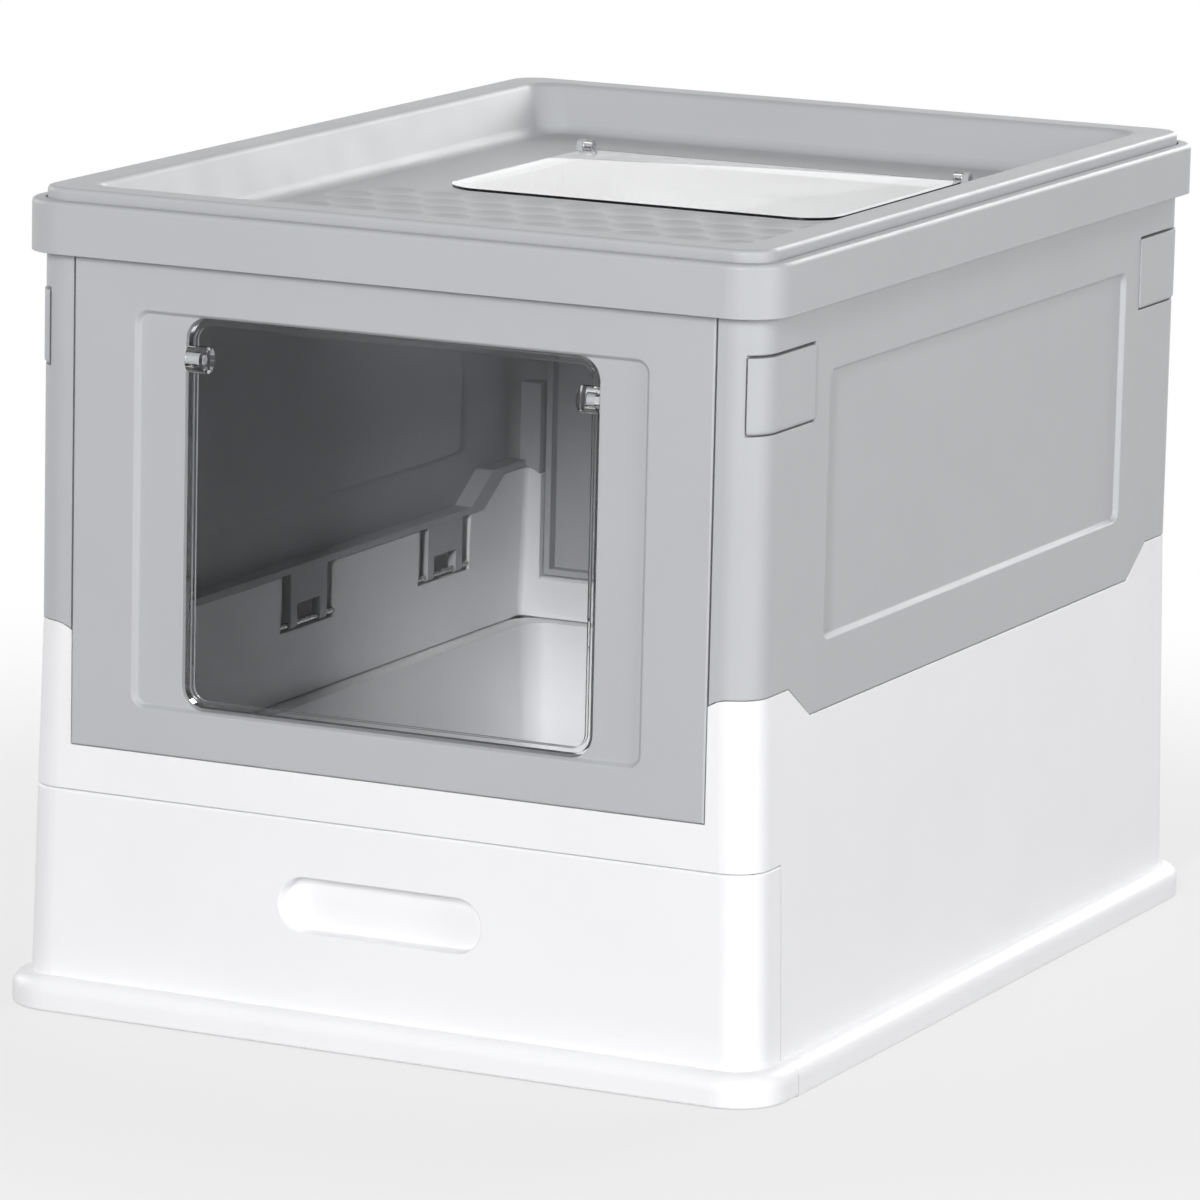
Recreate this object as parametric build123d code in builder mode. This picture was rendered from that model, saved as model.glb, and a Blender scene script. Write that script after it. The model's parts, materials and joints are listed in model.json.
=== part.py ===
from build123d import *
from math import sqrt
import os

# Covered litter box: a drawer base, four cabin walls, a tray lid, a swing door and a top exit.
# The front faces -Y, the origin is on the floor at the middle of the base, sizes are in mm.

os.makedirs("parts", exist_ok=True)

# Base outline
plinth_width = 355.0
plinth_depth = 466.0
plinth_height = 14.0
plinth_overhang = 8.2
plinth_top_round = 6.5
plinth_foot_round = 1.2
side_draft = 4.2
corner_radius = 15.0
corner_return = 20.1
wall = 3.0
floor_thickness = 3.0

# Heights, each above the one before it
drawer_height = 94.6
crossbar_height = 19.2
side_wall_rise = 37.2
column_rise = 14.0
cabin_height = 156.2

# Clearances
seam_gap = 0.4
rest_gap = 0.3
pin_clearance = 0.05
swing_gap = 0.6

# Double walls of the base
rail_depth = 12.0
inner_skin = 5.0
channel_end = 40.0

# Seam between base and side panels, measured from the front and rear faces
seam_column_length = 34.0
seam_slope_end = 55.0
column_dip = 3.1
column_dip_length = 9.0

# Drawer
drawer_return = 27.2
drawer_ground_gap = 0.4
drawer_edge_round = 1.2
grip_length = 93.0
grip_height = 23.3
grip_drop = 35.9
grip_depth = 8.0
grip_round = 0.4
grip_floor_round = 0.8
tray_rim_drop = 0.6
tray_rim_width = 8.0
tray_front_rim = 4.0
tray_side_gap = 9.1
tray_draft = 5.0
tray_back_gap = 14.0
tray_wall = 2.5
tray_corner = 14.0

# Front and rear panels
panel_proud = 0.5
panel_rib_depth = 8.8
panel_edge_round = 0.8
relief_depth = 2.2
relief_taper = 35.0
relief_round = 0.9
relief_floor_round = 0.9
front_relief_margin = 28.5
front_relief_sill = 18.8
front_relief_drop = 19.9
front_relief_corner = 6.0

# Side panels
side_relief_margin = 66.8
side_relief_sill = 28.5
side_relief_drop = 30.7
side_relief_corner = 5.0
corner_block_height = 40.0
corner_block_depth = 10.0
foot_lead = 12.0

# Doorway and swing door
door_frame = 22.5
door_sill = 20.0
door_drop = 21.1
door_corner = 10.0
door_lip = 3.0
flap_gap = 1.2
flap_thickness = 2.0
flap_rim_width = 2.4
flap_rim_thickness = 4.4
flap_depth = 4.8
flap_axis_drop = 17.8
flap_lug_radius = 5.6
flap_lug_length = 8.4
flap_lug_gap = 0.9
flap_pin_radius = 2.2
flap_pin_reach = 6.0
flap_pin_hold = 9.0
flap_boss_size = 11.0

# Wall hinges
hinge_pin_radius = 1.25
hinge_tab_width = 34.0
hinge_tab_thickness = 4.0
hinge_pin_hold = 5.0
hinge_chamfer = 1.2
hinge_notch_gap = 8.5
hinge_leg_width = 6.0
hinge_window_rise = 9.0
fold_axis_drop = 4.8
fold_hinge_inset = 55.0
side_axis_drop = 23.0
side_hinge_inset = 37.8

# Corner latches
latch_drop = 18.2
latch_height = 31.0
latch_thickness = 4.0
latch_proud = 0.6
latch_length = 51.3
latch_wrap = 7.5
latch_finger_gap = 1.2
latch_bottom_gap = 0.5
latch_edge_gap = 0.7
latch_pin_radius = 0.9
latch_pin_length = 38.0
latch_pin_hold = 9.0
latch_round = 1.9
tongue_length = 15.5
tongue_depth = 8.0
tongue_height = 6.0
tongue_rise = 14.0

# Lid
skirt_lap = 1.9
lid_floor_rise = 3.8
shoulder_rise = 16.0
rim_rise = 5.0
lid_overhang = 5.9
lid_corner = 20.0
lid_wall = 2.5
step_width = 6.4
groove_width = 0.9
groove_depth = 1.2
rim_width = 16.0
tray_slope = 12.0
lid_tray_corner = 12.0
shoulder_round = 2.0
rim_round = 2.0
rim_inner_round = 4.0
lid_floor_round = 8.0
rib_thickness = 2.5
rib_pitch = 90.0
rib_count = 5
dimple_radius = 10.2
dimple_spacing = 22.3
dimple_depth = 1.3
dimple_margin = 16.0

# Top exit and its flap
exit_width = 176.0
exit_length = 134.0
exit_rear_margin = 60.3
exit_corner = 10.0
top_flap_lap = 4.5
top_flap_thickness = 1.2
top_flap_corner = 18.0
top_axis_gap = 7.0
top_lug_radius = 2.6
top_lug_length = 4.0
top_pin_radius = 1.1
ear_thickness = 3.0
ear_width = 5.6

# Widths and depths that follow from the driving dimensions
body_width = plinth_width - 2 * (plinth_overhang + side_draft)
body_depth = plinth_depth - 2 * plinth_overhang
half_width = body_width / 2
half_depth = body_depth / 2
panel_width = body_width - 2 * corner_return
bay_width = panel_width + 2 * seam_gap
dip_end = bay_width / 2 + column_dip_length
panel_face = half_depth + panel_proud
front_relief_width = panel_width - 2 * front_relief_margin
side_relief_length = body_depth - 2 * side_relief_margin
door_width = front_relief_width - 2 * door_frame
drawer_back = half_depth - drawer_return
fold_axis_y = half_depth - rail_depth + inner_skin / 2
side_axis_x = half_width - rail_depth + inner_skin / 2
notch_width = hinge_tab_width + 2 * hinge_notch_gap
front_hinges = [fold_hinge_inset - panel_width / 2, panel_width / 2 - fold_hinge_inset]
side_hinge_y = half_depth - seam_slope_end - side_hinge_inset
side_hinges = [-side_hinge_y, 0, side_hinge_y]
flap_axis_y = panel_face - flap_depth
flap_width = door_width - 2 * flap_gap
latch_axis_x = half_width + latch_proud - latch_thickness / 2
latch_end_y = half_depth - latch_length
latch_edge_x = half_width - latch_wrap + latch_proud
lid_width = body_width + 2 * lid_overhang
lid_depth = body_depth + 2 * lid_overhang
rim_outer_width = lid_width - 2 * step_width
rim_outer_depth = lid_depth - 2 * step_width
rim_corner = lid_corner - step_width
rim_inner_width = rim_outer_width - 2 * rim_width
rim_inner_depth = rim_outer_depth - 2 * rim_width
floor_width = rim_inner_width - 2 * tray_slope
floor_depth = rim_inner_depth - 2 * tray_slope
exit_back = floor_depth / 2 - exit_rear_margin
exit_front = exit_back - exit_length
top_axis_y = exit_back + top_axis_gap
top_flap_width = exit_width + 2 * top_flap_lap
top_flap_front = exit_front - top_flap_lap
ear_x = top_flap_width / 2 + rest_gap + ear_thickness / 2

# Heights that follow from the driving dimensions
drawer_seam_z = drawer_height
crossbar_top = drawer_seam_z + crossbar_height
side_wall_top = crossbar_top + side_wall_rise
column_top = side_wall_top + column_rise
side_panel_top = column_top + cabin_height
skirt_bottom = side_panel_top - skirt_lap
panel_bottom = crossbar_top + seam_gap
panel_top = skirt_bottom - seam_gap
panel_height = panel_top - panel_bottom
front_relief_bottom = panel_bottom + front_relief_sill
front_relief_top = panel_top - front_relief_drop
side_relief_bottom = side_wall_top + side_relief_sill
side_relief_top = side_panel_top - side_relief_drop
door_bottom = panel_bottom + door_sill
door_top = panel_top - door_drop
flap_height = door_top - door_bottom - 2 * flap_gap
flap_centre_z = (door_top + door_bottom) / 2
flap_axis_z = door_top - flap_axis_drop
fold_axis_z = crossbar_top - fold_axis_drop
side_axis_z = side_wall_top - side_axis_drop
grip_centre_z = drawer_seam_z - grip_drop
tray_rim_z = drawer_seam_z - tray_rim_drop
latch_top = side_panel_top - latch_drop
latch_bottom = latch_top - latch_height
latch_axis_z = latch_bottom + latch_thickness / 2
tongue_z = latch_bottom + tongue_rise
lid_floor_z = side_panel_top + lid_floor_rise
lid_underside = lid_floor_z - lid_wall
shoulder_z = lid_floor_z + shoulder_rise
lid_top = shoulder_z + rim_rise
top_flap_z = lid_floor_z + rest_gap + top_flap_thickness / 2
top_axis_z = lid_floor_z + rest_gap + top_lug_radius


def base_width(z):
    """Width of the drafted base at a height."""
    return body_width + 2 * side_draft * (column_top - z) / (column_top - plinth_height)


def drafted_block(inset, z_low, z_high, mode=Mode.ADD):
    """Block that follows the drafted outside of the base, set in by a wall."""
    sections = []
    for z in (z_low, z_high):
        with BuildSketch(Plane.XY.offset(z)) as section:
            RectangleRounded(base_width(z) - 2 * inset, body_depth - 2 * inset, corner_radius - inset)
        sections.append(section.sketch)
    loft(sections, ruled=True, mode=mode)


def plinth_block(z_low):
    """Rounded flange that runs round the foot of the base."""
    with BuildSketch(Plane.XY.offset(z_low)) as outline:
        RectangleRounded(plinth_width, plinth_depth, corner_radius + plinth_overhang)
    block = extrude(outline.sketch, amount=plinth_height - z_low)
    fillet(block.faces().sort_by(Axis.Z)[-1].edges(), radius=plinth_top_round)
    fillet(block.faces().sort_by(Axis.Z)[0].edges(), radius=plinth_foot_round)


def cut_box(x_low, x_high, y_low, y_high, z_low, z_high):
    """Box given by its limits, cut from the current part."""
    with Locations(((x_low + x_high) / 2, (y_low + y_high) / 2, (z_low + z_high) / 2)):
        Box(x_high - x_low, y_high - y_low, z_high - z_low, mode=Mode.SUBTRACT)


def add_box(x_low, x_high, y_low, y_high, z_low, z_high):
    """Box given by its limits, added to the current part."""
    with Locations(((x_low + x_high) / 2, (y_low + y_high) / 2, (z_low + z_high) / 2)):
        Box(x_high - x_low, y_high - y_low, z_high - z_low)


def seam_line(rise):
    """Points of the side seam from front to rear, lifted by a gap."""
    outer = half_depth - seam_column_length
    inner = half_depth - seam_slope_end
    return [
        (-outer, column_top + rise),
        (-inner, side_wall_top + rise),
        (inner, side_wall_top + rise),
        (outer, column_top + rise),
    ]


def foot_line(rise, lead):
    """Points of the side panel's foot along the seam, from corner to corner."""
    end = half_depth - rail_depth
    outer = half_depth - seam_column_length - lead
    inner = half_depth - seam_slope_end - lead
    return [
        (-end, column_top + rise),
        (-outer, column_top + rise),
        (-inner, side_wall_top + rise),
        (inner, side_wall_top + rise),
        (outer, column_top + rise),
        (end, column_top + rise),
    ]


reach = plinth_depth
above = lid_top

# Base tub with plinth, columns, crossbars and double side walls
with BuildPart() as base_tub:
    plinth_block(0)
    drafted_block(0, plinth_height / 2, column_top)
    drafted_block(wall, floor_thickness, drawer_seam_z, Mode.SUBTRACT)
    drafted_block(rail_depth, drawer_seam_z - wall, column_top + wall, Mode.SUBTRACT)
    # Hollow of the double walls, open below
    for side in (-1, 1):
        skin_x = side * (half_width - rail_depth + inner_skin)
        outer_x = side * (half_width - wall)
        channel_y = half_depth - channel_end
        cut_box(min(skin_x, outer_x), max(skin_x, outer_x), -channel_y, channel_y,
                drawer_seam_z - wall, side_wall_top - wall)
        skin_y = side * (half_depth - rail_depth + inner_skin)
        outer_y = side * (half_depth - wall)
        channel_x = panel_width / 2 - wall
        cut_box(-channel_x, channel_x, min(skin_y, outer_y), max(skin_y, outer_y),
                drawer_seam_z - wall, crossbar_top - wall)
        # Bay of the front or rear panel
        inner_y = side * (half_depth - rail_depth - wall)
        outer_y = side * reach
        cut_box(-bay_width / 2, bay_width / 2, min(inner_y, outer_y), max(inner_y, outer_y),
                crossbar_top, above)
    # Lower stretch of the long sides between the columns
    with BuildSketch(Plane.YZ):
        with BuildLine():
            Polyline(*seam_line(0), (half_depth - seam_column_length, above),
                     (seam_column_length - half_depth, above), close=True)
        make_face()
    extrude(amount=reach, both=True, mode=Mode.SUBTRACT)
    # Rounded inner ends of the column tops
    with BuildSketch(Plane.XZ):
        with BuildLine():
            dip = TangentArc((dip_end, column_top), (bay_width / 2, column_top - column_dip),
                             tangent=(-1, 0))
            Polyline(dip @ 1, (bay_width / 2, above), (dip_end, above), dip @ 0)
        make_face()
        mirror(about=Plane.YZ)
    extrude(amount=reach, both=True, mode=Mode.SUBTRACT)
    # Bay of the drawer
    cut_box(-reach, reach, -reach, -drawer_back + seam_gap / 2, -wall, drawer_seam_z + seam_gap / 2)
    # Edges of the crossbars that the folding panels pass
    inner_edges = base_tub.edges().filter_by_position(
        Axis.Z, crossbar_top - pin_clearance, crossbar_top + pin_clearance)
    inner_edges = inner_edges.filter_by_position(
        Axis.Y, -half_depth + rail_depth - pin_clearance, half_depth - rail_depth + pin_clearance)
    chamfer(inner_edges, length=hinge_chamfer)
    # Notches and pin holes of the wall hinges
    for side in (-1, 1):
        for x in front_hinges:
            inner_y = side * (half_depth - rail_depth - wall)
            outer_y = side * (half_depth - rail_depth + inner_skin)
            cut_box(x - notch_width / 2, x + notch_width / 2, min(inner_y, outer_y),
                    max(inner_y, outer_y), fold_axis_z - hinge_tab_thickness / 2 - swing_gap, above)
            with Locations((x, side * fold_axis_y, fold_axis_z)):
                Cylinder(hinge_pin_radius + pin_clearance, notch_width + 2 * hinge_pin_hold,
                         rotation=(0, 90, 0), mode=Mode.SUBTRACT)
        for y in side_hinges:
            inner_x = side * (half_width - rail_depth - wall)
            outer_x = side * (half_width - rail_depth + inner_skin)
            cut_box(min(inner_x, outer_x), max(inner_x, outer_x), y - notch_width / 2,
                    y + notch_width / 2, side_axis_z - hinge_tab_thickness / 2 - swing_gap, above)
            with Locations((side * side_axis_x, y, side_axis_z)):
                Cylinder(hinge_pin_radius + pin_clearance, notch_width + 2 * hinge_pin_hold,
                         rotation=(90, 0, 0), mode=Mode.SUBTRACT)
base_tub.part.label = "base_tub"
export_step(base_tub.part, "parts/base_tub.step")

# Drawer front with its share of the plinth and the grip recess
tray_front = half_depth - wall - grip_depth - rest_gap
drawer_cap = half_depth - tray_front - tray_front_rim - rest_gap
with BuildPart() as drawer_front:
    plinth_block(drawer_ground_gap)
    drafted_block(0, plinth_height / 2, drawer_seam_z - seam_gap / 2)
    top_edges = drawer_front.faces().sort_by(Axis.Z)[-1].edges()
    fillet(top_edges, radius=drawer_edge_round)
    cut_box(-reach, reach, -drawer_back - seam_gap / 2, reach, -wall, above)
    drafted_block(wall, floor_thickness, drawer_seam_z - wall, Mode.SUBTRACT)
    open_width = base_width(drawer_seam_z) - 2 * wall
    cut_box(-open_width / 2, open_width / 2, -half_depth + drawer_cap, reach, grip_centre_z, above)
    with BuildSketch(Plane.XZ.offset(half_depth - wall)):
        with Locations((0, grip_centre_z)):
            SlotOverall(grip_length + 2 * wall, grip_height + 2 * wall)
    extrude(amount=-grip_depth)
    with BuildSketch(Plane.XZ.offset(half_depth)):
        with Locations((0, grip_centre_z)):
            SlotOverall(grip_length, grip_height)
    extrude(amount=-grip_depth, mode=Mode.SUBTRACT)
    mouth = drawer_front.edges().filter_by_position(
        Axis.Y, -half_depth - pin_clearance, -half_depth + pin_clearance)
    mouth = mouth.filter_by_position(Axis.X, -grip_length / 2, grip_length / 2)
    mouth = mouth.filter_by_position(Axis.Z, grip_centre_z - grip_height, grip_centre_z + grip_height)
    fillet(mouth, radius=grip_round)
    grip_floor = drawer_front.faces().filter_by(Axis.Y).filter_by_position(
        Axis.Y, -half_depth + grip_depth - pin_clearance, -half_depth + grip_depth + pin_clearance)
    fillet(grip_floor.edges(), radius=grip_floor_round)
drawer_front.part.label = "drawer_front"
export_step(drawer_front.part, "parts/drawer_front.step")

# Litter tray behind the drawer front
tray_back = half_depth - wall - tray_back_gap
tray_length = tray_front + tray_back
tray_width = body_width - 2 * (tray_side_gap + tray_rim_width)
tray_bottom = floor_thickness + rest_gap
tray_plane = Plane((0, (tray_back - tray_front) / 2, 0))
rim_plane = tray_plane.shift_origin((0, (tray_back + tray_rim_width - tray_front - tray_front_rim) / 2, 0))
with BuildPart() as litter_tray:
    for z, inset in ((tray_bottom, tray_draft), (tray_rim_z, 0)):
        with BuildSketch(tray_plane.offset(z)):
            RectangleRounded(tray_width - 2 * inset, tray_length - 2 * inset, tray_corner)
    loft(ruled=True)
    with BuildSketch(rim_plane.offset(tray_rim_z - tray_wall)):
        RectangleRounded(tray_width + 2 * tray_rim_width, tray_length + tray_rim_width + tray_front_rim,
                         tray_corner + tray_front_rim)
    extrude(amount=tray_wall)
    for z, inset in ((tray_bottom + tray_wall, tray_draft + tray_wall), (tray_rim_z, tray_wall)):
        with BuildSketch(tray_plane.offset(z)):
            RectangleRounded(tray_width - 2 * inset, tray_length - 2 * inset, tray_corner - tray_wall)
    loft(ruled=True, mode=Mode.SUBTRACT)
litter_tray.part.label = "litter_tray"
export_step(litter_tray.part, "parts/litter_tray.step")

# Front and rear panels: the same folding wall, with the doorway in the front one
relief_height = front_relief_top - front_relief_bottom
relief_z = (front_relief_top + front_relief_bottom) / 2
panel_z = (panel_top + panel_bottom) / 2
for name, has_door in (("front_panel", True), ("rear_panel", False)):
    with BuildPart() as panel:
        with BuildSketch(Plane.XZ.offset(panel_face)):
            with Locations((0, panel_z)):
                Rectangle(panel_width, panel_height)
        extrude(amount=-wall)
        outer_edges = panel.faces().sort_by(Axis.Y)[0].edges()
        fillet(outer_edges, radius=panel_edge_round)
        with BuildSketch(Plane.XZ.offset(panel_face - wall)):
            with Locations((0, panel_z)):
                Rectangle(panel_width, panel_height)
                Rectangle(panel_width - 2 * wall, panel_height - 2 * wall, mode=Mode.SUBTRACT)
        extrude(amount=wall - panel_rib_depth)
        with BuildSketch(Plane.XZ.offset(panel_face - wall)):
            with Locations((0, relief_z)):
                RectangleRounded(front_relief_width, relief_height, front_relief_corner)
        extrude(amount=-relief_depth)
        with BuildSketch(Plane.XZ.offset(panel_face)):
            with Locations((0, relief_z)):
                RectangleRounded(front_relief_width, relief_height, front_relief_corner)
        extrude(amount=-relief_depth, taper=relief_taper, mode=Mode.SUBTRACT)
        outer_faces = panel.faces().filter_by(Axis.Y).sort_by(Axis.Y)
        fillet(outer_faces[0].inner_wires()[0].edges(), radius=relief_round)
        fillet(panel.faces().filter_by(Axis.Y).sort_by(Axis.Y)[1].edges(), radius=relief_floor_round)
        # Tabs on the fold axis
        for x in front_hinges:
            tab_low = x - hinge_tab_width / 2
            tab_high = x + hinge_tab_width / 2
            tab_back = -fold_axis_y + hinge_tab_thickness / 2
            tab_front = -fold_axis_y - hinge_tab_thickness / 2
            add_box(tab_low, tab_high, tab_front, tab_back, fold_axis_z, panel_bottom + wall)
            add_box(tab_low, tab_high, -panel_face + wall / 2, tab_back, panel_bottom, panel_bottom + wall)
            with Locations((x, -fold_axis_y, fold_axis_z)):
                Cylinder(hinge_tab_thickness / 2, hinge_tab_width, rotation=(0, 90, 0))
                Cylinder(hinge_pin_radius + pin_clearance, hinge_tab_width, rotation=(0, 90, 0),
                         mode=Mode.SUBTRACT)
        if has_door:
            with BuildSketch(Plane.XZ.offset(panel_face - wall)):
                with Locations((0, flap_centre_z)):
                    RectangleRounded(door_width + 2 * door_lip, door_top - door_bottom + 2 * door_lip,
                                     door_corner + door_lip)
            extrude(amount=wall - panel_rib_depth)
            boss_x = (door_width + flap_boss_size) / 2
            for x in (-boss_x, boss_x):
                add_box(x - flap_boss_size / 2, x + flap_boss_size / 2,
                        -panel_face + relief_depth + wall / 2, -panel_face + panel_rib_depth,
                        flap_axis_z - flap_boss_size / 2, flap_axis_z + flap_boss_size / 2)
            with BuildSketch(Plane.XZ.offset(panel_face)):
                with Locations((0, flap_centre_z)):
                    RectangleRounded(door_width, door_top - door_bottom, door_corner)
            extrude(amount=-panel_rib_depth, mode=Mode.SUBTRACT)
            with Locations((0, -flap_axis_y, flap_axis_z)):
                Cylinder(flap_pin_radius + pin_clearance, door_width + 2 * flap_pin_hold,
                         rotation=(0, 90, 0), mode=Mode.SUBTRACT)
    finished = panel.part if has_door else mirror(panel.part, about=Plane.XZ)
    finished.label = name
    export_step(finished, f"parts/{name}.step")

# Side panels wrap the corners and carry the latches
notch_low = latch_bottom - latch_bottom_gap
notch_high = latch_top + latch_finger_gap
notch_edge = latch_edge_x - latch_edge_gap
return_x = bay_width / 2 + seam_gap
side_relief_height = side_relief_top - side_relief_bottom
side_relief_z = (side_relief_top + side_relief_bottom) / 2
with BuildPart() as side_panel:
    with BuildSketch(Plane.XY.offset(side_wall_top)):
        RectangleRounded(body_width, body_depth, corner_radius)
        RectangleRounded(body_width - 2 * wall, body_depth - 2 * wall, corner_radius - wall,
                         mode=Mode.SUBTRACT)
        with Locations((return_x + half_width, 0)):
            Rectangle(2 * half_width, 2 * body_depth, mode=Mode.INTERSECT)
    extrude(amount=side_panel_top - side_wall_top)
    # Inner blocks above the columns
    for side in (-1, 1):
        block_low = side * (half_depth - wall / 2)
        block_high = side * (half_depth - wall - corner_block_depth)
        add_box(return_x, half_width - wall / 2 - corner_radius / 2, min(block_low, block_high),
                max(block_low, block_high), column_top - column_dip, column_top + corner_block_height)
    # Sunk relief, with the same wall behind it
    with BuildSketch(Plane.YZ.offset(half_width - wall)):
        with Locations((0, side_relief_z)):
            RectangleRounded(side_relief_length, side_relief_height, side_relief_corner)
    extrude(amount=-relief_depth)
    with BuildSketch(Plane.YZ.offset(half_width)):
        with Locations((0, side_relief_z)):
            RectangleRounded(side_relief_length, side_relief_height, side_relief_corner)
    extrude(amount=-relief_depth, taper=relief_taper, mode=Mode.SUBTRACT)
    outer_face = side_panel.faces().filter_by(Axis.X).sort_by(Axis.X)[-1]
    fillet(outer_face.inner_wires()[0].edges(), radius=relief_round)
    fillet(side_panel.faces().filter_by(Axis.X).sort_by(Axis.X)[-2].edges(), radius=relief_floor_round)
    # Lower edge follows the seam of the base, also round the ends of the column tops
    with BuildSketch(Plane.YZ.offset(dip_end)):
        with BuildLine():
            Polyline((-reach, 0), (-reach, column_top + seam_gap), *seam_line(seam_gap),
                     (reach, column_top + seam_gap), (reach, 0), close=True)
        make_face()
    extrude(amount=reach, mode=Mode.SUBTRACT)
    with BuildSketch(Plane.XZ):
        with BuildLine():
            dip = TangentArc((dip_end, column_top + seam_gap),
                             (bay_width / 2, column_top - column_dip + seam_gap), tangent=(-1, 0))
            Polyline(dip @ 1, (bay_width / 2, 0), (dip_end, 0), dip @ 0)
        make_face()
    extrude(amount=reach, both=True, mode=Mode.SUBTRACT)
    # Foot on the double wall and the forked hinge tabs
    with BuildSketch(Plane.YZ.offset(half_width - rail_depth)):
        with BuildLine():
            Polyline(*foot_line(seam_gap, 0), *reversed(foot_line(seam_gap + wall, foot_lead)), close=True)
        make_face()
    extrude(amount=rail_depth - wall / 2)
    tab_inner = side_axis_x - hinge_tab_thickness / 2
    tab_outer = side_axis_x + hinge_tab_thickness / 2
    leg_inner = hinge_tab_width / 2 - hinge_leg_width
    for y in side_hinges:
        add_box(tab_inner, tab_outer, y - hinge_tab_width / 2, y + hinge_tab_width / 2, side_axis_z,
                side_wall_top + seam_gap + wall / 2)
        with Locations((side_axis_x, y, side_axis_z)):
            Cylinder(hinge_tab_thickness / 2, hinge_tab_width, rotation=(90, 0, 0))
            Cylinder(hinge_pin_radius + pin_clearance, hinge_tab_width, rotation=(90, 0, 0),
                     mode=Mode.SUBTRACT)
        cut_box(tab_inner, tab_outer, y - leg_inner, y + leg_inner, side_axis_z - hinge_tab_thickness,
                side_axis_z + hinge_window_rise)
    # Openings for the latches and the holes for their pins
    for side in (-1, 1):
        notch_end = side * (latch_end_y - seam_gap)
        cut_box(notch_edge, reach, min(notch_end, side * reach), max(notch_end, side * reach), notch_low,
                notch_high)
        with Locations((latch_axis_x, notch_end - side * latch_pin_hold / 2, latch_axis_z)):
            Cylinder(latch_pin_radius + pin_clearance, latch_pin_hold, rotation=(90, 0, 0),
                     mode=Mode.SUBTRACT)
mirrored_panel = mirror(side_panel.part, about=Plane.YZ)
for name, finished in (("right_panel", side_panel.part), ("left_panel", mirrored_panel)):
    finished.label = name
    export_step(finished, f"parts/{name}.step")

# Corner latch with a tongue beside the front panel, and the pin that it turns on
with BuildPart() as corner_latch:
    with BuildSketch(Plane.XY.offset(latch_bottom)):
        RectangleRounded(body_width + 2 * latch_proud, body_depth + 2 * latch_proud,
                         corner_radius + latch_proud)
        RectangleRounded(body_width + 2 * (latch_proud - latch_thickness),
                         body_depth + 2 * (latch_proud - latch_thickness),
                         corner_radius + latch_proud - latch_thickness, mode=Mode.SUBTRACT)
        with Locations((latch_edge_x + half_width / 2, -latch_end_y - half_depth / 2)):
            Rectangle(half_width, half_depth, mode=Mode.INTERSECT)
    extrude(amount=latch_height)
    lower_edges = corner_latch.faces().sort_by(Axis.Z)[0].edges()
    hinge_edges = [edge for edge in lower_edges if edge.center().X > latch_axis_x]
    fillet(hinge_edges, radius=latch_round)
    tongue_end = half_width - latch_thickness
    add_box(tongue_end - tongue_length, tongue_end, -half_depth + corner_radius / 2,
            -half_depth + corner_radius / 2 + tongue_depth, tongue_z, tongue_z + tongue_height)
    with Locations((latch_axis_x, -latch_end_y - latch_pin_length / 2 + latch_pin_hold / 2, latch_axis_z)):
        Cylinder(latch_pin_radius + pin_clearance, latch_pin_length, rotation=(90, 0, 0),
                 mode=Mode.SUBTRACT)
with BuildPart() as latch_pin:
    pin_start = latch_end_y - seam_gap - latch_pin_hold + rest_gap
    with Locations((latch_axis_x, -pin_start - latch_pin_length / 2 + rest_gap, latch_axis_z)):
        Cylinder(latch_pin_radius, latch_pin_length - 2 * rest_gap, rotation=(90, 0, 0))
for end in ("front", "rear"):
    for side in ("right", "left"):
        for name, piece in (("corner_latch", corner_latch.part), ("corner_latch_pin", latch_pin.part)):
            finished = piece if end == "front" else mirror(piece, about=Plane.XZ)
            finished = finished if side == "right" else mirror(finished, about=Plane.YZ)
            label = f"{name}_{end}_{side}"
            finished.label = label
            export_step(finished, f"parts/{label}.step")

# Pins of the wall hinges
pin_length = notch_width + 2 * hinge_pin_hold - 2 * rest_gap
for name, side in (("front_panel_hinge_pins", -1), ("rear_panel_hinge_pins", 1)):
    with BuildPart() as fold_pins:
        with Locations(*[(x, side * fold_axis_y, fold_axis_z) for x in front_hinges]):
            Cylinder(hinge_pin_radius, pin_length, rotation=(0, 90, 0))
    fold_pins.part.label = name
    export_step(fold_pins.part, f"parts/{name}.step")
for name, side in (("left_panel_hinge_pins", -1), ("right_panel_hinge_pins", 1)):
    with BuildPart() as side_pins:
        with Locations(*[(side * side_axis_x, y, side_axis_z) for y in side_hinges]):
            Cylinder(hinge_pin_radius, pin_length, rotation=(90, 0, 0))
    side_pins.part.label = name
    export_step(side_pins.part, f"parts/{name}.step")

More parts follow.
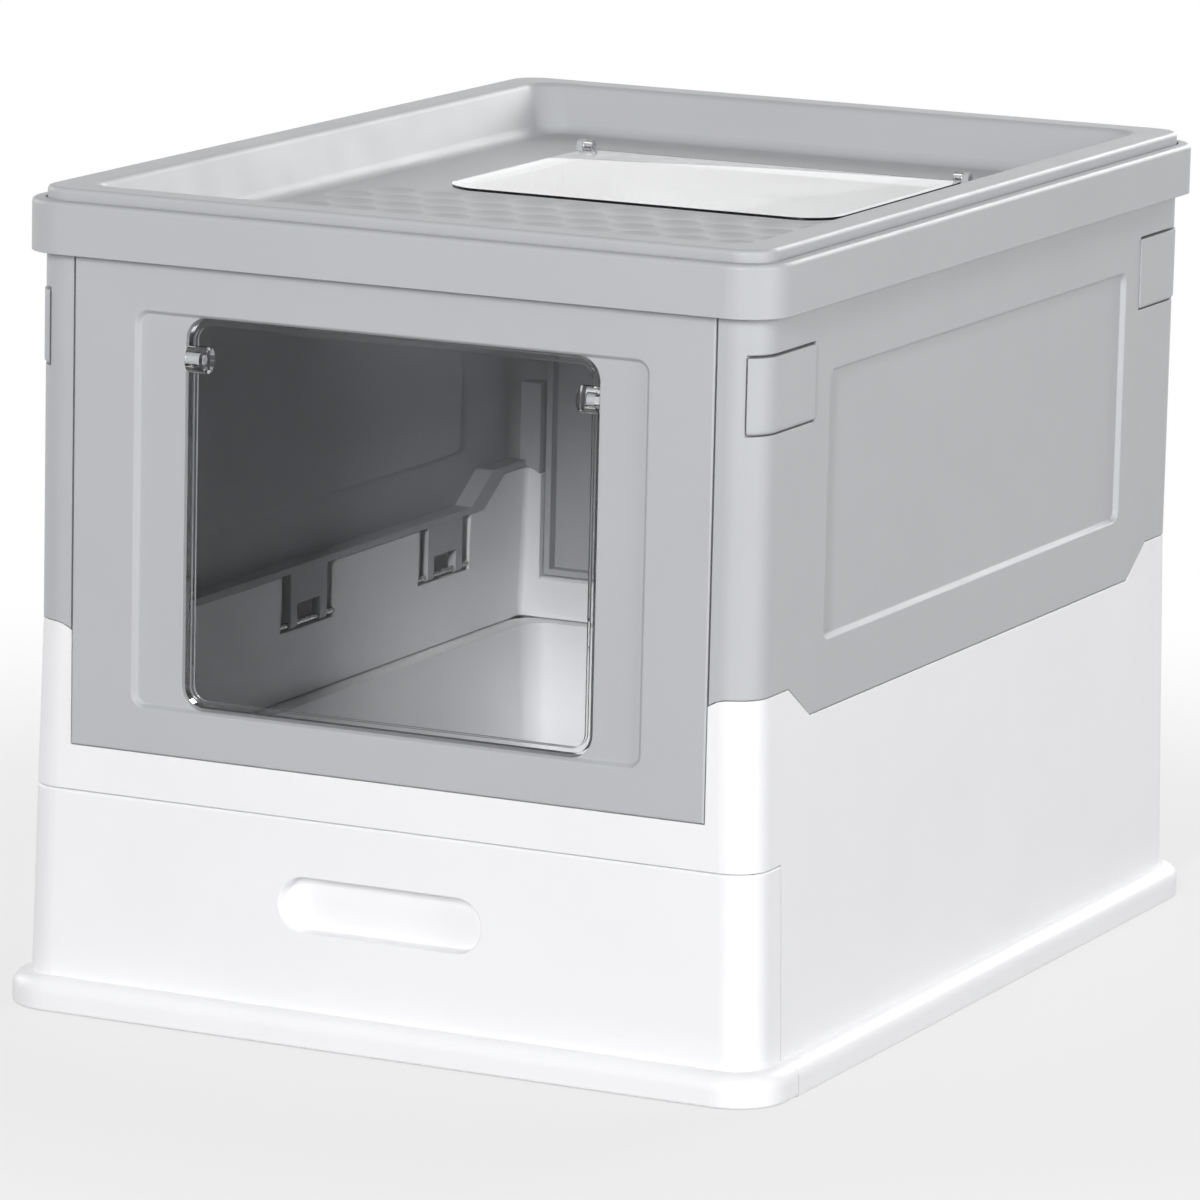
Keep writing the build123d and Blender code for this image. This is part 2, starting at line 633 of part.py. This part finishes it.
# Swing door with a raised rim and two lugs that end short of the doorway's edge
lug_outer = door_width / 2 - flap_lug_gap
lug_inner = lug_outer - flap_lug_length
flap_pin_inner = door_width / 2 - flap_pin_reach
flap_pin_outer = door_width / 2 + flap_pin_hold - rest_gap
with BuildPart() as front_flap:
    with BuildSketch(Plane.XZ.offset(flap_axis_y + flap_thickness / 2)):
        with Locations((0, flap_centre_z)):
            RectangleRounded(flap_width, flap_height, door_corner - flap_gap)
    extrude(amount=-flap_thickness)
    with BuildSketch(Plane.XZ.offset(flap_axis_y + flap_rim_thickness / 2)):
        with Locations((0, flap_centre_z)):
            RectangleRounded(flap_width, flap_height, door_corner - flap_gap)
            RectangleRounded(flap_width - 2 * flap_rim_width, flap_height - 2 * flap_rim_width,
                             door_corner - flap_gap - flap_rim_width, mode=Mode.SUBTRACT)
    extrude(amount=-flap_rim_thickness)
    for side in (-1, 1):
        with Locations((side * (lug_inner + lug_outer) / 2, -flap_axis_y, flap_axis_z)):
            Cylinder(flap_lug_radius, lug_outer - lug_inner, rotation=(0, 90, 0))
        bore_inner = flap_pin_inner - rest_gap
        with Locations((side * (bore_inner + lug_outer) / 2, -flap_axis_y, flap_axis_z)):
            Cylinder(flap_pin_radius + pin_clearance, lug_outer - bore_inner, rotation=(0, 90, 0),
                     mode=Mode.SUBTRACT)
front_flap.part.label = "front_flap"
export_step(front_flap.part, "parts/front_flap.step")

# Pins of the swing door, held in the panel
for name, side in (("front_flap_pin_left", -1), ("front_flap_pin_right", 1)):
    with BuildPart() as flap_pin:
        with Locations((side * (flap_pin_inner + flap_pin_outer) / 2, -flap_axis_y, flap_axis_z)):
            Cylinder(flap_pin_radius, flap_pin_outer - flap_pin_inner, rotation=(0, 90, 0))
    flap_pin.part.label = name
    export_step(flap_pin.part, f"parts/{name}.step")

# One shallow dimple of the lid's honeycomb, a slice of a large ball
with BuildPart() as dimple:
    with BuildSketch(Plane.XZ):
        with BuildLine():
            ThreePointArc((-dimple_radius, 0), (0, -dimple_depth), (dimple_radius, 0))
            Line((dimple_radius, 0), (-dimple_radius, 0))
        make_face()
        with Locations((dimple_radius / 2, 0)):
            Rectangle(dimple_radius, 2 * dimple_depth, mode=Mode.INTERSECT)
    revolve(axis=Axis.Z)

# Lid: a stepped rim round a sunk tray, hollow below
row_step = dimple_spacing * sqrt(3) / 2
dimple_columns = int((floor_width - 2 * dimple_margin) / dimple_spacing + 1 / 2)
dimple_front = dimple_margin - floor_depth / 2
dimple_back = top_flap_front - dimple_radius
dimple_rows = 1 + int((dimple_back - dimple_front) / row_step)
dimple_plane = Plane((0, (dimple_front + dimple_back) / 2, lid_floor_z), x_dir=(0, 1, 0))
with BuildPart() as lid:
    with BuildSketch(Plane.XY.offset(skirt_bottom)):
        RectangleRounded(lid_width, lid_depth, lid_corner)
    extrude(amount=shoulder_z - skirt_bottom)
    fillet(lid.faces().sort_by(Axis.Z)[-1].edges(), radius=shoulder_round)
    with BuildSketch(Plane.XY.offset(shoulder_z - shoulder_round)):
        RectangleRounded(rim_outer_width, rim_outer_depth, rim_corner)
    extrude(amount=lid_top - shoulder_z + shoulder_round)
    fillet(lid.faces().sort_by(Axis.Z)[-1].edges(), radius=rim_round)
    with BuildSketch(Plane.XY.offset(shoulder_z)):
        RectangleRounded(rim_outer_width + 2 * groove_width, rim_outer_depth + 2 * groove_width,
                         rim_corner + groove_width)
        RectangleRounded(rim_outer_width, rim_outer_depth, rim_corner, mode=Mode.SUBTRACT)
    extrude(amount=-groove_depth, mode=Mode.SUBTRACT)
    # Hollow below the skirt and the rim
    with BuildSketch(Plane.XY.offset(skirt_bottom)):
        RectangleRounded(lid_width - 2 * lid_wall, lid_depth - 2 * lid_wall, lid_corner - lid_wall)
    extrude(amount=shoulder_z - lid_wall - shoulder_round - skirt_bottom, mode=Mode.SUBTRACT)
    with BuildSketch(Plane.XY.offset(shoulder_z - lid_wall - shoulder_round)):
        RectangleRounded(rim_outer_width - 2 * lid_wall, rim_outer_depth - 2 * lid_wall,
                         rim_corner - lid_wall)
    extrude(amount=lid_top - rim_round - shoulder_z + shoulder_round, mode=Mode.SUBTRACT)
    # Tray walls and floor
    for z, width, depth in ((lid_underside, floor_width, floor_depth),
                            (lid_top - rim_round, rim_inner_width, rim_inner_depth)):
        with BuildSketch(Plane.XY.offset(z)):
            RectangleRounded(width + 2 * lid_wall, depth + 2 * lid_wall, lid_tray_corner + lid_wall)
    loft(ruled=True)
    # Ribs that land on the side panels
    rib_z = side_panel_top + rest_gap
    for side in (-1, 1):
        for row in range(rib_count):
            rib_y = (row - (rib_count - 1) / 2) * rib_pitch
            rib_low = side * (floor_width / 2)
            rib_high = side * (lid_width / 2 - lid_wall / 2)
            add_box(min(rib_low, rib_high), max(rib_low, rib_high), rib_y - rib_thickness / 2,
                    rib_y + rib_thickness / 2, rib_z, shoulder_z - shoulder_round)
    for z, width, depth in ((lid_floor_z, floor_width, floor_depth),
                            (lid_top, rim_inner_width, rim_inner_depth)):
        with BuildSketch(Plane.XY.offset(z)):
            RectangleRounded(width, depth, lid_tray_corner)
    loft(ruled=True, mode=Mode.SUBTRACT)
    rim_face = lid.faces().filter_by(Axis.Z).sort_by(Axis.Z)[-1]
    fillet(rim_face.inner_wires()[0].edges(), radius=rim_inner_round)
    tray_floor = lid.faces().filter_by(Axis.Z).filter_by_position(
        Axis.Z, lid_floor_z - pin_clearance, lid_floor_z + pin_clearance)[0]
    fillet(tray_floor.outer_wire().edges(), radius=lid_floor_round)
    # Top exit and the ears of its flap
    with BuildSketch(Plane.XY.offset(lid_floor_z)):
        with Locations((0, (exit_front + exit_back) / 2)):
            RectangleRounded(exit_width, exit_back - exit_front, exit_corner)
    extrude(amount=-2 * lid_wall, mode=Mode.SUBTRACT)
    for side in (-1, 1):
        add_box(side * ear_x - ear_thickness / 2, side * ear_x + ear_thickness / 2,
                top_axis_y - ear_width / 2, top_axis_y + ear_width / 2, lid_underside, top_axis_z)
        with Locations((side * ear_x, top_axis_y, top_axis_z)):
            Cylinder(ear_width / 2, ear_thickness, rotation=(0, 90, 0))
            Cylinder(top_pin_radius + pin_clearance, ear_thickness, rotation=(0, 90, 0), mode=Mode.SUBTRACT)
    # Honeycomb of shallow dimples in front of the exit
    with Locations(dimple_plane):
        with HexLocations(dimple_spacing / 2, dimple_rows, dimple_columns):
            add(dimple.part, mode=Mode.SUBTRACT)
lid.part.label = "lid"
export_step(lid.part, "parts/lid.step")

# Top flap over the exit
top_lug_x = (top_flap_width - top_lug_length) / 2
with BuildPart() as top_flap:
    with BuildSketch(Plane.XY.offset(top_flap_z - top_flap_thickness / 2)):
        with Locations((0, (top_flap_front + top_axis_y) / 2)):
            RectangleRounded(top_flap_width, top_axis_y - top_flap_front, top_flap_corner)
        with Locations((0, top_axis_y - top_flap_corner / 2)):
            Rectangle(top_flap_width, top_flap_corner)
    extrude(amount=top_flap_thickness)
    for x in (-top_lug_x, top_lug_x):
        with Locations((x, top_axis_y, top_axis_z)):
            Cylinder(top_lug_radius, top_lug_length, rotation=(0, 90, 0))
            Cylinder(top_pin_radius + pin_clearance, top_lug_length, rotation=(0, 90, 0),
                     mode=Mode.SUBTRACT)
top_flap.part.label = "top_flap"
export_step(top_flap.part, "parts/top_flap.step")

# Pins of the top flap, held in the ears
top_pin_inner = top_flap_width / 2 - top_lug_length + rest_gap
top_pin_outer = ear_x + ear_thickness / 2
for name, side in (("top_flap_pin_left", -1), ("top_flap_pin_right", 1)):
    with BuildPart() as top_pin:
        with Locations((side * (top_pin_inner + top_pin_outer) / 2, top_axis_y, top_axis_z)):
            Cylinder(top_pin_radius, top_pin_outer - top_pin_inner, rotation=(0, 90, 0))
    top_pin.part.label = name
    export_step(top_pin.part, f"parts/{name}.step")
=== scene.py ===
import json
import math

import bpy
from mathutils import Matrix, Vector

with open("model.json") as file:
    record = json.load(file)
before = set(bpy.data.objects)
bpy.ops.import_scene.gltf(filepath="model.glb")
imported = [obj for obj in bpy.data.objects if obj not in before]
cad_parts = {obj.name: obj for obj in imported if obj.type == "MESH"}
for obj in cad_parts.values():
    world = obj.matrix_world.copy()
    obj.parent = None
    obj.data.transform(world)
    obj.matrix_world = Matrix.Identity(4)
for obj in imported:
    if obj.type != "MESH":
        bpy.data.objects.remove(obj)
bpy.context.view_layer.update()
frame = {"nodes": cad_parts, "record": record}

# Looks of the covered litter box: moulded grey and white plastic, clear flaps, steel pins.
# Everything is in metres, the front faces -Y and the floor is at z = 0.
# The scale of a texture is in features a metre.

# Camera: where it stands, how it is turned, in degrees, and its lens
camera_place = Vector((1.3812, -2.8949, 0.7756))
camera_azimuth = 25.688
camera_elevation = 10.990
camera_roll = 1.3045
camera_lens_mm = 226.79
camera_sensor_mm = 36.0

# Colours, linear
grey_colour = (0.491, 0.503, 0.521)
white_colour = (0.925, 0.925, 0.940)
clear_colour = (0.985, 0.988, 0.99)
steel_colour = (0.42, 0.42, 0.43)
floor_colour = (0.50, 0.50, 0.50)
surround_colour = (1, 1, 1)

# Noise lies mostly between these two values
noise_low = 0.3
noise_high = 0.7

# Moulded plastic: uneven tone and sheen, fine grain, slow waves of the wall and rounded edges
plastic_ior = 1.49
tone_scale = 14
tone_spread = 0.012
sheen_scale = 45
sheen_spread = 0.03
grain_scale = 1800
wall_wave_scale = 9
wall_wave_depth = 0.0006
edge_round = 0.0006
edge_samples = 6
grey_roughness = 0.46
grey_grain_depth = 0.000012
white_roughness = 0.38
white_grain_depth = 0.000008

# Clear plastic: faint tone, slow waves, and how much rougher its dullest spots are than its brightest
clear_tone_scale = 10
clear_tone_spread = 0.01
clear_sheen_scale = 60
clear_dull_ratio = 2
clear_wave_scale = 11

# Top flap: how far it drops to the sides, at one metre from its middle, and its rise a metre to the hinges
top_roughness = 0.015
top_wave_depth = 0.0003
top_drop = 0.3
top_lift = 0.045

# Swing door: half the depth within which it is plain sheet, and how strongly sheet and rim bend light
door_roughness = 0.012
door_wave_depth = 0.0002
door_sheet_half = 0.0012
door_sheet_ior = 1.15
door_rim_ior = 1.27

# Steel pins: uneven tone and sheen, and drawing marks that are stretched along X
steel_tone_scale = 300
steel_tone_spread = 0.05
steel_sheen_scale = 900
steel_sheen_stretch = (0.05, 1, 1)
steel_roughness_low = 0.2
steel_roughness_high = 0.34
mark_scale = 2500
mark_stretch = (0.03, 1, 1)
mark_depth = 0.00001

# Floor: it fades to white between two distances from its middle, and is partly white before that
floor_half = 6.0
floor_roughness = 0.9
fade_start = 0.30
fade_end = 0.85
white_share_near = 0.72

# Light: level of the surround, and what the lamps point at
surround_level = 0.05
object_middle = (0, 0, 0.17)
top_flap_middle = (0, 0.07, 0.33)


def new_material(name):
    """Material with a plain principled shader, and its node tree."""
    material = bpy.data.materials.new(name)
    material.use_nodes = True
    tree = material.node_tree
    return material, tree, tree.nodes["Principled BSDF"]


def noise(tree, scale, detail, stretch=(1, 1, 1)):
    """Noise over the object's own coordinates."""
    place = tree.nodes.new("ShaderNodeTexCoord")
    mapping = tree.nodes.new("ShaderNodeMapping")
    mapping.inputs["Scale"].default_value = stretch
    texture = tree.nodes.new("ShaderNodeTexNoise")
    texture.inputs["Scale"].default_value = scale
    texture.inputs["Detail"].default_value = detail
    tree.links.new(place.outputs["Object"], mapping.inputs["Vector"])
    tree.links.new(mapping.outputs["Vector"], texture.inputs["Vector"])
    return texture.outputs["Fac"]


def measured(tree, axis):
    """One of the object's own coordinates, in metres."""
    place = tree.nodes.new("ShaderNodeTexCoord")
    split = tree.nodes.new("ShaderNodeSeparateXYZ")
    tree.links.new(place.outputs["Object"], split.inputs["Vector"])
    return split.outputs[axis]


def combine(tree, operation, first, second=0.0):
    """Result of an operation on one or two values, each a number or an output."""
    node = tree.nodes.new("ShaderNodeMath")
    node.operation = operation
    for value, socket in zip((first, second), node.inputs):
        if isinstance(value, (int, float)):
            socket.default_value = value
        else:
            tree.links.new(value, socket)
    return node.outputs["Value"]


def vary(tree, factor, low, high, socket):
    """Feeds a shader socket with a value that wanders between two limits."""
    span = tree.nodes.new("ShaderNodeMapRange")
    span.inputs["From Min"].default_value = noise_low
    span.inputs["From Max"].default_value = noise_high
    span.inputs["To Min"].default_value = low
    span.inputs["To Max"].default_value = high
    tree.links.new(factor, span.inputs["Value"])
    tree.links.new(span.outputs["Result"], socket)


def tint(tree, factor, colour, spread, socket):
    """Feeds a colour socket with a colour that varies a little around its mean."""
    ramp = tree.nodes.new("ShaderNodeValToRGB")
    dark, light = ramp.color_ramp.elements
    dark.position = noise_low
    light.position = noise_high
    dark.color = (*[c * (1 - spread) for c in colour], 1)
    light.color = (*[c * (1 + spread) for c in colour], 1)
    tree.links.new(factor, ramp.inputs["Fac"])
    tree.links.new(ramp.outputs["Color"], socket)


def bump(tree, shader, heights, edge_radius=0.0):
    """Chain of bumps, each a height map with its depth in metres, over softly rounded edges."""
    normal = None
    if edge_radius:
        edge = tree.nodes.new("ShaderNodeBevel")
        edge.samples = edge_samples
        edge.inputs["Radius"].default_value = edge_radius
        normal = edge.outputs["Normal"]
    for height, depth in heights:
        node = tree.nodes.new("ShaderNodeBump")
        node.inputs["Strength"].default_value = 1.0
        node.inputs["Distance"].default_value = depth
        tree.links.new(height, node.inputs["Height"])
        if normal:
            tree.links.new(normal, node.inputs["Normal"])
        normal = node.outputs["Normal"]
    tree.links.new(normal, shader.inputs["Normal"])


def mix_surface(tree, share, first, second):
    """Makes the surface a mix of two shaders, with a share of the second."""
    mixed = tree.nodes.new("ShaderNodeMixShader")
    tree.links.new(share, mixed.inputs["Fac"])
    tree.links.new(first, mixed.inputs[1])
    tree.links.new(second, mixed.inputs[2])
    tree.links.new(mixed.outputs["Shader"], tree.nodes["Material Output"].inputs["Surface"])


def moulded_plastic(name, colour, roughness, grain_depth):
    """Injection moulded plastic: fine spark grain, slow waves of the wall and a slightly uneven sheen."""
    material, tree, shader = new_material(name)
    tone = noise(tree, tone_scale, detail=3)
    sheen = noise(tree, sheen_scale, detail=4)
    grain = noise(tree, grain_scale, detail=2)
    waves = noise(tree, wall_wave_scale, detail=1)
    tint(tree, tone, colour, tone_spread, shader.inputs["Base Color"])
    vary(tree, sheen, roughness - sheen_spread, roughness + sheen_spread, shader.inputs["Roughness"])
    bump(tree, shader, [(waves, wall_wave_depth), (grain, grain_depth)], edge_round)
    shader.inputs["IOR"].default_value = plastic_ior
    return material


def crown(tree, drop, lift):
    """Height in metres of a sheet that is bowed across its width and lifted towards its hinges."""
    across = measured(tree, "X")
    bow = combine(tree, "MULTIPLY", combine(tree, "MULTIPLY", across, across), -drop)
    slope = combine(tree, "MULTIPLY", measured(tree, "Y"), lift)
    return combine(tree, "ADD", bow, slope)


def pass_light(tree, shader):
    """Lets light for other surfaces straight through a clear shader."""
    path = tree.nodes.new("ShaderNodeLightPath")
    passing = combine(tree, "MAXIMUM", path.outputs["Is Shadow Ray"], path.outputs["Is Diffuse Ray"])
    open_air = tree.nodes.new("ShaderNodeBsdfTransparent")
    open_air.inputs["Color"].default_value = (*clear_colour, 1)
    mix_surface(tree, passing, shader.outputs["BSDF"], open_air.outputs["BSDF"])


def clear_plastic(name, roughness, wave_depth, drop=0.0, lift=0.0):
    """Polished clear sheet with slow waves, flat or with the slight bow of a thin pressing."""
    material, tree, shader = new_material(name)
    tone = noise(tree, clear_tone_scale, detail=2)
    sheen = noise(tree, clear_sheen_scale, detail=4)
    waves = noise(tree, clear_wave_scale, detail=1)
    tint(tree, tone, clear_colour, clear_tone_spread, shader.inputs["Base Color"])
    vary(tree, sheen, roughness, roughness * clear_dull_ratio, shader.inputs["Roughness"])
    bump(tree, shader, [(crown(tree, drop, lift), 1.0), (waves, wave_depth)])
    shader.inputs["Transmission Weight"].default_value = 1.0
    shader.inputs["IOR"].default_value = plastic_ior
    pass_light(tree, shader)
    return material


def door_plastic(name, door):
    """Clear plastic of the swing door, whose sheet bends and mirrors light less than its rim and lugs."""
    material = clear_plastic(name, door_roughness, door_wave_depth)
    tree = material.node_tree
    depths = [corner[1] for corner in door.bound_box]
    middle = (min(depths) + max(depths)) / 2
    offset = combine(tree, "ABSOLUTE", combine(tree, "SUBTRACT", measured(tree, "Y"), middle))
    raised = combine(tree, "GREATER_THAN", offset, door_sheet_half)
    more = combine(tree, "MULTIPLY", raised, door_rim_ior - door_sheet_ior)
    ior = combine(tree, "ADD", more, door_sheet_ior)
    tree.links.new(ior, tree.nodes["Principled BSDF"].inputs["IOR"])
    return material


def drawn_steel(name):
    """Pin wire with fine drawing marks."""
    material, tree, shader = new_material(name)
    tone = noise(tree, steel_tone_scale, detail=3)
    sheen = noise(tree, steel_sheen_scale, detail=3, stretch=steel_sheen_stretch)
    marks = noise(tree, mark_scale, detail=2, stretch=mark_stretch)
    tint(tree, tone, steel_colour, steel_tone_spread, shader.inputs["Base Color"])
    vary(tree, sheen, steel_roughness_low, steel_roughness_high, shader.inputs["Roughness"])
    bump(tree, shader, [(marks, mark_depth)])
    shader.inputs["Metallic"].default_value = 1.0
    return material


def dress_nodes(nodes):
    """Gives every CAD node the finish of its slot, and the swing door a clear plastic of its own."""
    finishes = {
        "grey_plastic": moulded_plastic("grey_plastic", grey_colour, grey_roughness, grey_grain_depth),
        "white_plastic": moulded_plastic("white_plastic", white_colour, white_roughness, white_grain_depth),
        "clear_plastic": clear_plastic("clear_plastic", top_roughness, top_wave_depth, top_drop, top_lift),
        "steel": drawn_steel("steel"),
    }
    for subpart in frame["record"]["subparts"]:
        node = nodes[subpart["node"]]
        node.data.materials.clear()
        node.data.materials.append(finishes[subpart["material_slot"]])
    door = nodes["front_flap"]
    door.data.materials[0] = door_plastic("door_plastic", door)


def seen_directly(tree):
    """1 for rays that show the surroundings, straight, mirrored or through clear parts, and 0 for light."""
    path = tree.nodes.new("ShaderNodeLightPath")
    seen = path.outputs["Is Camera Ray"]
    for ray in ("Is Glossy Ray", "Is Transmission Ray"):
        seen = combine(tree, "MAXIMUM", seen, path.outputs[ray])
    return seen


def floor_material():
    """Pale matt floor that turns into plain white away from its middle."""
    material, tree, shader = new_material("floor")
    shader.inputs["Base Color"].default_value = (*floor_colour, 1)
    shader.inputs["Roughness"].default_value = floor_roughness
    place = tree.nodes.new("ShaderNodeTexCoord")
    distance = tree.nodes.new("ShaderNodeVectorMath")
    distance.operation = "LENGTH"
    fade = tree.nodes.new("ShaderNodeMapRange")
    fade.interpolation_type = "SMOOTHSTEP"
    fade.inputs["From Min"].default_value = fade_start
    fade.inputs["From Max"].default_value = fade_end
    fade.inputs["To Min"].default_value = white_share_near
    glow = tree.nodes.new("ShaderNodeEmission")
    tree.links.new(place.outputs["Object"], distance.inputs[0])
    tree.links.new(distance.outputs["Value"], fade.inputs["Value"])
    share = combine(tree, "MULTIPLY", fade.outputs["Result"], seen_directly(tree))
    mix_surface(tree, share, shader.outputs["BSDF"], glow.outputs["Emission"])
    return material


def plain_floor():
    """Floor under the object."""
    mesh = bpy.data.meshes.new("floor")
    half = floor_half
    corners = [(-half, -half, 0), (half, -half, 0), (half, half, 0), (-half, half, 0)]
    mesh.from_pydata(corners, [], [(0, 1, 2, 3)])
    floor = bpy.data.objects.new("floor", mesh)
    bpy.context.scene.collection.objects.link(floor)
    mesh.materials.append(floor_material())


def white_world():
    """White surround: full white where it is seen, and a low level as light."""
    world = bpy.data.worlds.new("surround")
    world.use_nodes = True
    tree = world.node_tree
    back = tree.nodes["Background"]
    back.inputs["Color"].default_value = (*surround_colour, 1)
    strength = tree.nodes.new("ShaderNodeMapRange")
    strength.inputs["To Min"].default_value = surround_level
    tree.links.new(seen_directly(tree), strength.inputs["Value"])
    tree.links.new(strength.outputs["Result"], back.inputs["Strength"])
    bpy.context.scene.world = world


def soft_light(name, place, target, width, height, watts):
    """Soft box that points at a target and stays out of the picture."""
    light = bpy.data.lights.new(name, "AREA")
    light.shape = "RECTANGLE"
    light.size = width
    light.size_y = height
    light.energy = watts
    lamp = bpy.data.objects.new(name, light)
    bpy.context.scene.collection.objects.link(lamp)
    lamp.location = place
    lamp.rotation_euler = (Vector(target) - Vector(place)).to_track_quat("-Z", "Y").to_euler()
    lamp.visible_camera = False


def studio_lights():
    """Narrow key light that reaches in by the doorway, fills at the sides, and lights from behind."""
    soft_light("front", place=(1.11, -5.62, 2.25), target=object_middle, width=0.5, height=2.1, watts=248)
    soft_light("right", place=(3.0, -0.8, 0.9), target=object_middle, width=1.6, height=1.6, watts=44)
    soft_light("left", place=(-2.8, 0.2, 1.2), target=object_middle, width=1.6, height=1.6, watts=26)
    soft_light("rear", place=(-1.02, 2.2, 0.8), target=top_flap_middle, width=1.5, height=1.5, watts=2)
    soft_light("rear_high", place=(0.3, 3.4, 1.4), target=object_middle, width=1.6, height=1.6, watts=68)


def photo_camera():
    """Camera that stands where the photograph was taken."""
    azimuth = math.radians(camera_azimuth)
    elevation = math.radians(camera_elevation)
    roll = math.radians(camera_roll)
    back = Vector((math.sin(azimuth) * math.cos(elevation), -math.cos(azimuth) * math.cos(elevation),
                   math.sin(elevation)))
    right = Vector((math.cos(azimuth), math.sin(azimuth), 0))
    up = back.cross(right)
    turned_right = math.cos(roll) * right + math.sin(roll) * up
    turned_up = math.cos(roll) * up - math.sin(roll) * right
    data = bpy.data.cameras.new("camera")
    data.lens = camera_lens_mm
    data.sensor_width = camera_sensor_mm
    camera = bpy.data.objects.new("camera", data)
    bpy.context.scene.collection.objects.link(camera)
    axes = Matrix((turned_right, turned_up, back)).transposed()
    camera.matrix_world = Matrix.Translation(camera_place) @ axes.to_4x4()
    bpy.context.scene.camera = camera


dress_nodes(frame["nodes"])
plain_floor()
white_world()
studio_lights()
photo_camera()
bpy.context.scene.view_settings.view_transform = "Standard"
